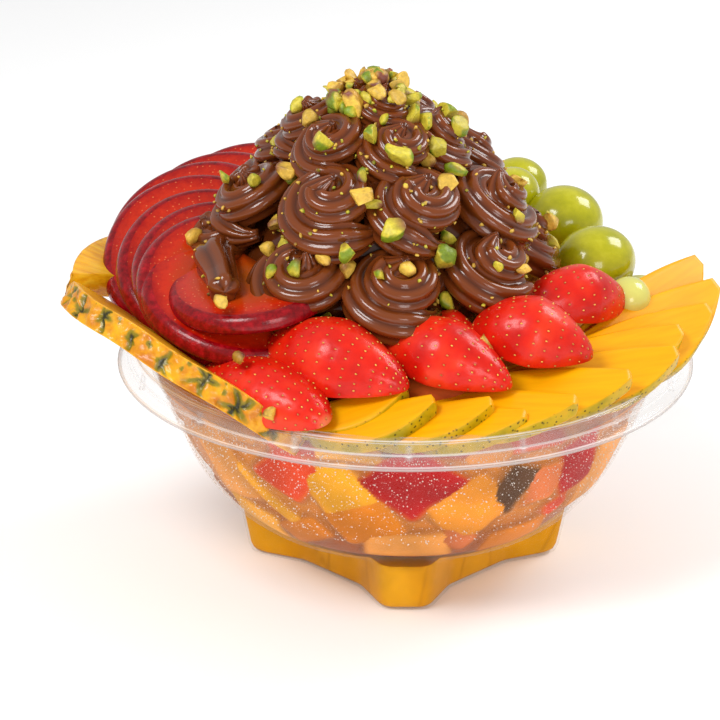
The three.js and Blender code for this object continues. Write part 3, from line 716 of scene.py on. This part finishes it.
def d_slice(shape, origin, axes, radius, thickness, open_angle, rim, seed, steps=97, shape_rim=None):
    """A round slice cut off straight, whose arc runs through +x."""
    limit = math.radians(open_angle)
    angles = np.linspace(-limit, limit, steps)
    along = radius * math.sin(limit) * 0.985 * angles / limit
    chord = np.stack([np.full(steps, radius * math.cos(limit)), along], 1)
    arc = np.stack([np.cos(angles), np.sin(angles)], 1)
    half = thickness / 2
    reach = radius * (1 + 0.012 * np.sin(3 * angles + seed) - 0.012)[:, None]
    rows = [(chord + (arc * (reach - rim[0][0]) - chord) * t, half, 0) for t in SLICE_ROWS]
    rows += [(arc * (reach - inset), half * z, s) for inset, z, s in rim]
    rows += [(chord + (arc * (reach - rim[-1][0]) - chord) * t, -half, 0) for t in SLICE_ROWS[::-1]]
    rings = np.stack([np.hstack([flat, np.full((steps, 1), z)]) for flat, z, _ in rows], 1)
    skin = np.tile([float(s) for _, _, s in rows], steps)
    local = rings.reshape(-1, 3)
    edges = np.hypot(local[:, 0], local[:, 1]) / radius
    extra = {}
    if shape_rim:
        local, extra = shape_rim(local, skin, edges)
    moved = local + np.outer(0.5 * wobble(local * [1, 1, 0], radius * 0.7, seed), [0, 0, 1])
    placed = (moved @ axes + origin).reshape(rings.shape)
    shape.add_rings(placed, skin=skin, edge=edges, local=local + seed * 40.0, **extra)


# azimuth, reach, height, and the way each slice's face looks and how far it is lifted
PLUMS = [
    (136, 74, 96.5, -116, 55), (147, 74, 96.5, -115, 55), (158, 73.4, 96.6, -112, 54),
    (169, 68, 96.6, -97, 54), (180, 60.7, 96.8, -76, 57), (191, 56.2, 96.9, -64, 58),
    (202, 57, 97.2, -64, 58), (208.4, 57.6, 98.6, -74, 69), (214.4, 57.8, 103.4, -130, 80),
]


def make_plums():
    for i, (azimuth, reach, height, facing, lift) in enumerate(PLUMS):
        shape = Shape()
        axes = axes_at(direction(facing, lift), polar(azimuth, 1, 0))
        radius = PLUM_END_RADIUS if i == len(PLUMS) - 1 else PLUM_RADIUS
        origin = polar(azimuth, reach, height)
        d_slice(shape, origin, axes, radius, PLUM_THICKNESS, PLUM_OPEN, PLUM_RIM, i + 2)
        add_piece(f"plum_{i + 1}", shape, PLUM, [f"plum_slice_{i + 1}"])


EYE_SPACING = 13.5


def pineapple_rim(seed):
    """Lumpy rind, with a dark green star of creases between each two of its eyes."""
    def shape_rim(local, skin, edges):
        angle = np.arctan2(local[:, 1], local[:, 0])
        along = angle * PINEAPPLE_RADIUS + 4.0 * seed
        cell = np.round(along / EYE_SPACING)
        shift = 1.6 * np.sin(cell * 2.3 + seed)
        x = along - cell * EYE_SPACING + 0.8 * np.sin(local[:, 2] * 0.8 + cell)
        y = local[:, 2] - shift
        arms = np.abs(np.cos(2.5 * np.arctan2(y, x) + cell)) ** 3
        star = np.hypot(x, 0.55 * y)
        eye = np.exp(-((star / (1.3 + 3.0 * arms * (0.75 + 0.5 * np.sin(cell * 5.1)))) ** 2))
        nub = np.exp(-(((EYE_SPACING / 2 - np.abs(x)) ** 2 + (y - 2.0) ** 2) / 0.9))
        lumps = 0.45 * wobble(local, 2.6, seed + 5)
        out = skin * (lumps - 1.3 * eye + 0.5 * np.abs(x) / EYE_SPACING - 0.9)
        radial = np.stack([np.cos(angle), np.sin(angle), np.zeros_like(angle)], 1)
        fibre = np.stack([edges * PINEAPPLE_RADIUS, angle * 26, local[:, 2]], 1)
        return local + radial * out[:, None], {"eye": skin * np.maximum(eye, 0.8 * nub), "fibre": fibre}
    return shape_rim


# node, centre, facing and lift, the way its arc points, half its opening angle
PINEAPPLES = [
    ("pineapple_slice_front", (-62, -30, 70.2), 31, 52, 222, 82),
    ("pineapple_slice_rear", (-58, 6, 76.3), -19, 71, 118, 70),
]


def make_pineapples():
    for k, (node, at, facing, lift, out, open_angle) in enumerate(PINEAPPLES):
        shape = Shape()
        axes = axes_at(direction(facing, lift), polar(out, 1, 0))
        d_slice(shape, np.array(at, float), axes, PINEAPPLE_RADIUS, PINEAPPLE_THICKNESS, open_angle,
                PINEAPPLE_RIM, k + 3, steps=261, shape_rim=pineapple_rim(k + 1))
        add_piece(f"pineapple_{k + 1}", shape, PINEAPPLE, [node])


# ---------------------------------------------------------------- strawberries

# stem end, tip, width and height
STRAWBERRIES = [
    ((-43, -46, 89), (0, -70, 82), 27, 15),
    ((-24, -80, 75), (-63, -44, 81), 24, 12),
    ((-8, -45, 90), (31, -66, 83), 24, 14),
    ((19, -42, 91), (57, -46, 86), 26, 15),
    ((36, -26, 91), (71, -2, 88), 22, 13),
    ((2, -40, 88), (24, -44, 86), 18, 11),
]
SEED_PITCH = 2.7
SEED_HALF = (0.45, 0.28, 0.22)
PIT_RADIUS = 0.55
PIT_DEPTH = 0.22


def make_strawberries():
    seeds = Shape()
    pip, pip_faces = icosphere(1)
    pip = pip * SEED_HALF
    for i, (stem, tip, width, height) in enumerate(STRAWBERRIES):
        stem, tip = np.array(stem, float), np.array(tip, float)
        middle = (stem + tip) / 2
        length = np.linalg.norm(tip - stem)
        outward = unit([middle[0], middle[1], 0])
        axes = axes_at(np.array([0, 0, 1.0]) + 0.25 * outward, tip - stem)

        def surface(polar_angle, around):
            along = np.cos(polar_angle)
            r = np.sin(polar_angle)
            taper = 1.06 - 0.42 * np.maximum(along, 0) ** 1.2 + 0.08 * np.minimum(along, 0)
            taper *= 1 + 0.03 * np.sin(2 * around + i) * r
            up = r * np.sin(around)
            z = np.where(up > 0, up * taper * height, up * 1.5)
            return np.stack([along * length / 2, r * np.cos(around) * taper * width / 2, z], -1)

        steps = np.linspace(0.02, math.pi - 0.02, 100), np.linspace(0, TURN, 132, endpoint=False)
        P, Q = np.meshgrid(*steps, indexing="ij")
        points = surface(P, Q).reshape(-1, 3)
        centre = np.array([0, 0, -0.3 * height])
        spots = []
        rows = int(length / SEED_PITCH)
        for row in range(1, rows):
            pa = math.pi * (row + 0.1 * rng.uniform(-1, 1)) / rows
            arc = width * math.sin(pa) * 1.9
            count = max(int(arc / (SEED_PITCH * 1.25)), 1)
            for k in range(count):
                around = math.pi * (k + 0.5 * (row % 2) + 0.25 + 0.12 * rng.uniform(-1, 1)) / count
                spots.append(surface(np.array(pa), np.array(around)))
        spots = np.array(spots)
        gap = np.linalg.norm(points[:, None] - spots[None], axis=2).min(1)
        pit = np.exp(-((gap / PIT_RADIUS) ** 2))
        inward = centre - points
        inward /= np.linalg.norm(inward, axis=1, keepdims=True)
        points = points + inward * (pit * PIT_DEPTH)[:, None]
        pale = smooth(0.95, 1.0, -points[:, 0] / (length / 2))
        shape = Shape()
        # the pit value also paints shade in the dimples, as a darker red
        shape.add_rings((points @ axes + middle).reshape(P.shape + (3,)), pit=pit * 0.6, pale=pale * 0.5)
        add_piece(f"strawberry_{i + 1}", shape, STRAWBERRY, [f"strawberry_half_{i + 1}"])
        for spot in spots:
            normal = unit(spot - centre)
            turn = axes_at(normal, np.array([1.0, 0.1 * rng.uniform(-1, 1), 0]))
            local = pip @ turn + spot - normal * 0.12
            seeds.add(local @ axes + middle, [pip_faces])
    add_piece("strawberry_seeds", seeds, SEED)


# ---------------------------------------------------------------- mango

# azimuth, reach and height of its +x end, heading, pitch, roll and length
MANGO_FAN = [
    (-90, 67, 82.5, 2, 18, 18, 38), (-83.5, 74, 81, 0, 16, 18, 40), (-70.5, 77, 80, -2, 13, 18, 44),
    (-65, 84.5, 77.5, -16, 10, 20, 46), (-54, 87, 79.5, -12, 6, 20, 54), (-38, 87, 81, 1, 4, 22, 60),
    (-22, 91, 81.5, 13, 5, 26, 62), (-12.5, 89, 83, 22, 6, 30, 62), (-3, 97, 85, 29, 7, 34, 64),
    (6, 101, 88, 37, 9, 37, 66), (15, 99, 90.5, 47, 10, 40, 66),
]
MANGO_SKIN_BULGE = 0.27
MANGO_CUT_BULGE = 0.07
MANGO_BLUNT = 3


def make_mangoes():
    for i, (azimuth, reach, height, heading, pitch, roll, length) in enumerate(MANGO_FAN):
        turn = (Matrix.Rotation(math.radians(heading), 3, "Z") @ Matrix.Rotation(-math.radians(pitch), 3, "Y")
                @ Matrix.Rotation(math.radians(roll), 3, "X"))
        axes = np.array(turn.transposed())
        u = np.linspace(0.004, 0.996, 60)
        b = MANGO_BLUNT / 2
        low = -b * ((1 - u) ** 2 + u ** 2) - 4 * u * (1 - u) * MANGO_SKIN_BULGE * length
        high = b * ((1 - u) ** 2 + u ** 2) + 4 * u * (1 - u) * MANGO_CUT_BULGE * length
        half = MANGO_THICKNESS / 2
        ends = np.minimum(1, np.sqrt(np.minimum(u, 1 - u) / 0.02))
        rings, skins = [], []
        across = [0.04, 0.16, 0.3, 0.45, 0.6, 0.75, 0.88, 0.97]
        loop = [(f, 1, 0) for f in across] + [(1.0, 0.8, 0), (1.0, 0.0, 0), (1.0, -0.8, 0)]
        loop += [(f, -1, 0) for f in across[::-1]] + [(0.012, -0.9, 0.6), (0, -0.7, 1), (-0.006, -0.25, 1),
                                                     (-0.006, 0.25, 1), (0, 0.7, 1), (0.012, 0.9, 0.6)]
        for f, z, s in loop:
            y = low + (high - low) * f
            rings.append(np.stack([-length * (1 - u), y * (0.4 + 0.6 * ends), half * z * ends], 1))
            skins.append(np.full(len(u), float(s)))
        rings = np.stack(rings, 1)
        local = rings.reshape(-1, 3)
        curve = local.copy()
        curve[:, 2] += 0.35 * wobble(local, 22, i)
        shape = Shape()
        shape.add_rings((curve @ axes + polar(azimuth, reach, height)).reshape(rings.shape),
                        skin=np.stack(skins, 1).ravel(), local=local + i * 30.0)
        add_piece(f"mango_{i + 1}", shape, MANGO, [f"mango_slice_{i + 1}"])


# ---------------------------------------------------------------- grapes and papaya

# centre, size, azimuth of the long axis
GRAPES = [
    ((62, 22, 91), (28, 25, 24), 40), ((53.4, 53, 94), (27, 26, 25), 20), ((36.8, 62, 101), (20, 18, 18), 80),
    ((39.2, 82, 97.5), (21, 20, 19), 10), ((71, -3, 88), (15, 14, 14), 60),
    ((76, 20, 80.5), (18, 16, 13), 50), ((12, 70, 84), (26, 24, 23), 100),
    ((-14, 72, 84), (26, 24, 23), 70), ((38, 64, 81), (24, 22, 21), 120),
    ((-40, 66, 84), (24, 23, 22), 130),
]


def ellipsoid_rings(rows, cols, half):
    steps = np.linspace(0.01, math.pi - 0.01, rows), np.linspace(0, TURN, cols, endpoint=False)
    P, Q = np.meshgrid(*steps, indexing="ij")
    ball = np.stack([np.cos(P), np.sin(P) * np.cos(Q), np.sin(P) * np.sin(Q)], -1)
    return ball * np.asarray(half)


def make_grapes():
    for i, (at, size, along) in enumerate(GRAPES):
        axes = axes_at(direction(along + 90, 75), direction(along, 0))
        rings = ellipsoid_rings(40, 64, np.array(size) / 2)
        end = rings[..., 0] / (size[0] / 2)
        rings = rings * (1 - 0.05 * smooth(0.9, 1.0, end))[..., None]
        pale = 0.8 if i in (4, 5) else 0.0
        shape = Shape()
        scar = 0.9 * smooth(0.975, 0.995, end).ravel()
        placed = (rings.reshape(-1, 3) @ axes + np.array(at, float)).reshape(rings.shape)
        shape.add_rings(placed, pale=np.maximum(pale, scar))
        add_piece(f"grape_{i + 1}", shape, GRAPE, [f"grape_{i + 1}"])


def make_papaya():
    axes = axes_at(direction(-80, 60), direction(-12, 0))
    rings = ellipsoid_rings(40, 64, (14.6, 7.8, 6.8))
    flat = rings.reshape(-1, 3)
    flat = flat * (1 + 0.06 * wobble(flat, 7, 2))[:, None]
    shape = Shape()
    tint = np.broadcast_to(rgb(206, 96, 34), flat.shape)
    shape.add_rings((flat @ axes + np.array([11, -55, 77.0])).reshape(rings.shape), tint=tint)
    add_piece("papaya", shape, FILLING, ["papaya_piece"])


# ---------------------------------------------------------------- cream

# height, reach, size, lift, azimuths about the mound
TIERS = [
    (104, 44, 16.4, 58, [-119, -81, -38, 5, 52, 95, 139]),
    (103.5, 48, 15, 62, [-173]),
    (125.5, 33, 16.2, 58, [-112, -66, 34, 86, 140]),
    (119.5, 37.5, 15.6, 58, [-169, -17]),
    (140, 19, 12.8, 60, [-192, -130, -68, -11, 56, 112]),
    (150.5, 6, 9.5, 68, [-180, -60, 60]),
]
SPIRAL_END = 240  # where the outer end of a swirl lies, from its top leftwards
FLUTES = 8
FLUTE_POINTS = 6
ROPE_STEPS = 68


def sweep(shape, line, radius, flutes, start):
    """A fluted rope of cream along a line, its frame carried from point to point."""
    tangent = np.gradient(line, axis=0)
    tangent /= np.linalg.norm(tangent, axis=1, keepdims=True)
    F = np.linspace(0, TURN, FLUTE_POINTS * flutes, endpoint=False)
    ridge = ((np.cos(flutes * F) + 1.02) / 2.02) ** 0.45
    side = np.array(start, float)
    rings = []
    for point, along, wide in zip(line, tangent, radius):
        side = unit(side - along * (side @ along))
        up = np.cross(along, side)
        r = wide * (0.8 + 0.24 * ridge)
        rings.append(point + np.outer(r * np.cos(F), side) + np.outer(r * np.sin(F), up))
    # the ridge value also sets the painted shade in the grooves, in the cream's material
    shape.add_rings(np.stack(rings), ridge=np.tile(ridge, len(line)))


def rosette(shape, centre, axes, size, spin, turns):
    """A rope of cream wound inwards and upwards to a small pointed tip."""
    t = np.linspace(0, 1, ROPE_STEPS)
    angle = spin - TURN * turns * t
    reach = size * 0.8 * (1 - t) ** 0.85
    climb = size * (0.66 * t - 0.06 + 0.22 * smooth(0.86, 1.0, t) - 0.2 * smooth(0.1, 0.0, t))
    lean = size * 0.16 * smooth(0.85, 1.0, t)
    line = np.stack([reach * np.cos(angle) + lean, reach * np.sin(angle) - lean, climb], 1)
    radius = size * (0.43 - 0.07 * t) * (1 - 0.8 * smooth(0.84, 1.0, t)) * (0.3 + 0.7 * smooth(0.0, 0.1, t))
    sweep(shape, line @ axes + centre, radius, FLUTES, axes[2])


def tail(shape):
    """A rope of cream that slid off the left rosette on to the last plum slice."""
    path = np.array([(-57, -12, 105), (-60.5, -24, 109), (-57.5, -35, 108), (-55.5, -48, 106.5)])
    knots = np.linspace(0, 1, len(path))
    t = np.linspace(0, 1, 60)
    line = np.stack([np.interp(t, knots, path[:, k]) for k in range(3)], 1)
    for _ in range(40):
        line[1:-1] = (line[:-2] + 2 * line[1:-1] + line[2:]) / 4
    radius = np.interp(t, [0, 0.4, 0.75, 1], [7.4, 6.4, 5.2, 5.0])
    radius = radius * np.sqrt(np.clip(1 - np.clip((t - 0.92) / 0.08, 0, 1) ** 2, 0.004, 1))
    sweep(shape, line, radius, 5, [0, 0, 1])


def make_cream():
    shape = Shape()
    F = np.linspace(0, TURN, 120, endpoint=False)
    rings = []
    heights = np.linspace(84, 161, 60)
    for z in heights:
        r = max(np.interp(z + 3, [m[0] for m in MOUND], [m[1] for m in MOUND]) - CORE_DEPTH, 1.0)
        rings.append(np.stack([r * np.cos(F), r * np.sin(F), np.full(len(F), z)], 1))
    flat = np.concatenate(rings)
    flat[:, :2] *= (1 + 0.03 * wobble(flat, 9, 6))[:, None]
    # the core's low ridge value paints it dark as shade where it shows between the rosettes
    shape.add_rings((flat + MOUND_AXIS).reshape(len(heights), len(F), 3), ridge=np.full(len(flat), 0.12))
    draw = np.random.default_rng(21)
    for height, reach, size, lift, azimuths in TIERS:
        for azimuth in azimuths:
            centre = polar(azimuth, reach - 1, height + draw.uniform(-1, 1)) + MOUND_AXIS
            lean = direction(azimuth + draw.uniform(-8, 8), lift + draw.uniform(-5, 5))
            spin = math.radians(SPIRAL_END + draw.uniform(-35, 35))
            wide = size * draw.uniform(0.98, 1.05)
            rosette(shape, centre, axes_at(lean, [0, 0, 1.0]), wide, spin, draw.uniform(1.65, 1.95))
    tail(shape)
    add_piece("cream", shape, CREAM, ["chocolate_cream"])
    return shape.tree()


# ---------------------------------------------------------------- pistachios

# azimuth about the mound, height, size and kind: g green, t tan
NUTS = [
    (-130, 116, 10, "g"), (-63, 115, 9.5, "g"), (-82, 126, 9, "g"), (-97, 134, 8.5, "t"), (-89, 131, 7, "g"),
    (-96, 138, 5, "g"), (-74, 143, 9, "g"), (-50, 134, 9, "t"), (-31, 135, 7, "g"), (-50, 140, 7, "t"),
    (-38, 143, 8, "g"), (-35, 148, 8, "g"), (-18, 146, 7.5, "g"), (-124, 147, 8, "g"), (-148, 149, 7, "t"),
    (-94, 147, 8, "g"), (-150, 133, 6, "g"), (-147, 136, 8, "t"), (-173, 128, 6.5, "g"), (-100, 115, 7.5, "t"),
    (-100, 120, 7.5, "g"), (-79, 114, 6, "t"), (-88, 113, 5, "g"), (-51, 117, 7, "g"), (-118, 113, 7, "g"),
    (-142, 119, 8, "t"), (-36, 109, 5.5, "t"), (-45, 111, 4.5, "g"), (-15, 105, 7, "t"), (-168, 111, 7, "t"),
    (-59, 100, 7, "g"), (-128, 153, 9, "t"), (-4, 150, 8, "g"), (-158, 131, 6, "g"), (-108, 118, 5, "t"),
    (-135, 114, 6, "t"), (-125, 111, 5, "g"), (-27, 122, 7, "g"), (-8, 128, 7, "t"), (2, 112, 7, "t"),
    (-162, 104, 6, "g"),
]
TINTS = {
    "g": (rgb(128, 150, 20), rgb(214, 196, 56)),
    "t": (rgb(188, 140, 44), rgb(230, 186, 70)),
}  # outside and cut
HUSK = rgb(128, 66, 48)
TOP_NUTS, BACK_NUTS, CRUMBS = 78, 34, 560
# centre, size and kind
LOOSE_NUTS = [
    ((-24.6, -47, 96), 7.5, "g"), ((-19.4, -50, 93), 6, "g"), ((-10, -49, 92), 7, "g"),
    ((22, -56.5, 93), 7.5, "t"), ((-56.5, -55, 106.5), 5, "t"), ((-41.2, -80.4, 80), 5.5, "t"),
    ((-50.5, -65, 92), 5, "t"),
]


def nut(shape, centre, size, kind, seed, husk=0.5):
    """A ball cut flat on six sides, with a patch of its husk left on it."""
    draw = np.random.default_rng(seed)
    verts, faces = icosphere(3 if size > 7 else 2 if size > 3 else 1)
    verts = verts * [1.2, 0.9, 0.8]
    verts *= (1 + 0.1 * wobble(verts, 0.6, seed))[:, None]
    cut = np.zeros(len(verts))
    for _ in range(6):
        n = unit(draw.normal(size=3))
        over = np.maximum(verts @ n - draw.uniform(0.3, 0.65), 0)
        verts = verts - over[:, None] * n
        cut = np.maximum(cut, smooth(0, 0.04, over))
    spin = np.linalg.qr(draw.normal(size=(3, 3)))[0]
    outer, inner = TINTS[kind]
    tint = outer * (1 - cut[:, None]) + inner * cut[:, None]
    patch = verts @ unit(draw.normal(size=3)) + 0.3 * wobble(verts, 0.5, seed)
    skin = smooth(0.95 - 2 * husk * draw.uniform(0, 1), 1.0, patch)[:, None]
    tint = tint * (1 - skin) + HUSK * skin
    shape.add(verts @ spin * size / 2 + centre, [faces], tint=tint * draw.uniform(0.8, 1.15))


def make_nuts(tree):
    shape = Shape()

    def surface(azimuth, height):
        origin = polar(azimuth, 120, height) + MOUND_AXIS
        hit, normal, _, _ = tree.ray_cast(Vector(origin), Vector(-polar(azimuth, 1, 0)))
        return (np.array(hit), np.array(normal)) if hit else (None, None)

    def size_and_kind(largest):
        return rng.uniform(4, largest), "g" if rng.uniform() < 0.6 else "t"

    places = list(NUTS)
    for k in range(TOP_NUTS):
        height = 149 + 13 * math.sqrt(rng.uniform(0, 1))
        places.append((k * 137.5 % 360, height, *size_and_kind(7.5)))
    for _ in range(BACK_NUTS):
        azimuth = rng.uniform(5, 172)
        height = 100 + 48 * rng.uniform()
        places.append((azimuth, height, *size_and_kind(8.5)))
    for k, (azimuth, height, size, kind) in enumerate(places):
        at, normal = surface(azimuth, height)
        if at is not None:
            nut(shape, at + normal * size * 0.18, size, kind, 200 + k)
    for k, (at, size, kind) in enumerate(LOOSE_NUTS):
        nut(shape, np.array(at, float), size, kind, 700 + k)
    for k in range(CRUMBS):
        azimuth, height = rng.uniform(-180, 180), 96 + 66 * rng.uniform() ** 0.8
        at, normal = surface(azimuth, height)
        if at is not None:
            nut(shape, at + normal * 0.3, rng.uniform(0.8, 2.2), "t" if rng.uniform() < 0.6 else "g", 900 + k)
    add_piece("pistachios", shape, NUT)


# ---------------------------------------------------------------- studio


def make_studio():
    scene = bpy.context.scene
    scene.view_settings.view_transform = "Standard"
    world = bpy.data.worlds.new("studio")
    world.use_nodes = True
    world.node_tree.nodes["Background"].inputs["Color"].default_value = (1, 1, 1, 1)
    world.node_tree.nodes["Background"].inputs["Strength"].default_value = 0.56
    scene.world = world
    look = Look("floor", Base_Color=(0.97, 0.97, 0.97, 1), Roughness=0.8,
                Emission_Color=(1, 1, 1, 1), Emission_Strength=0.06)
    mesh = bpy.data.meshes.new("floor")
    mesh.from_pydata([(-3, -3, 0), (3, -3, 0), (3, 3, 0), (-3, 3, 0)], [], [(0, 1, 2, 3)])
    mesh.materials.append(look.material)
    floor = bpy.data.objects.new("floor", mesh)
    scene.collection.objects.link(floor)
    lights = [
        ("key", (-0.55, -0.55, 0.95), 0.4, 8),
        ("rim", (0.65, 0.35, 0.7), 0.4, 4.5),
        ("front", (0.35, -0.9, 0.35), 0.35, 2.5),
    ]
    for name, at, size, power in lights:
        lamp = bpy.data.lights.new(name, "AREA")
        lamp.shape, lamp.size, lamp.energy = "SQUARE", size, power
        holder = bpy.data.objects.new(name, lamp)
        holder.location = at
        aim = Vector((-0.01, 0, 0.09)) - Vector(at)
        holder.rotation_euler = aim.to_track_quat("-Z", "Y").to_euler()
        scene.collection.objects.link(holder)


def make_camera():
    """The photograph's camera, fitted to the bowl's rim and foot."""
    elevation, distance, roll = 0.381465, 1.0, 0.002842
    aim = Vector((-0.01452, 0, 0.065392))
    back = Vector((0, -math.cos(elevation), math.sin(elevation)))
    right, up = Vector((1, 0, 0)), Vector((0, math.sin(elevation), math.cos(elevation)))
    x = right * math.cos(roll) + up * math.sin(roll)
    y = up * math.cos(roll) - right * math.sin(roll)
    data = bpy.data.cameras.new("camera")
    data.sensor_width = 36
    data.lens = 3101.93 / 720 * 36
    camera = bpy.data.objects.new("camera", data)
    turn = Matrix((x, y, back)).transposed().to_4x4()
    camera.matrix_world = Matrix.Translation(aim + back * distance) @ turn
    bpy.context.scene.collection.objects.link(camera)
    bpy.context.scene.camera = camera


make_camera()
make_studio()
make_bowl()
make_filling()
make_foot_fill()
make_drops()
make_plums()
make_pineapples()
make_strawberries()
make_mangoes()
make_grapes()
make_papaya()
cream_tree = make_cream()
make_nuts(cream_tree)
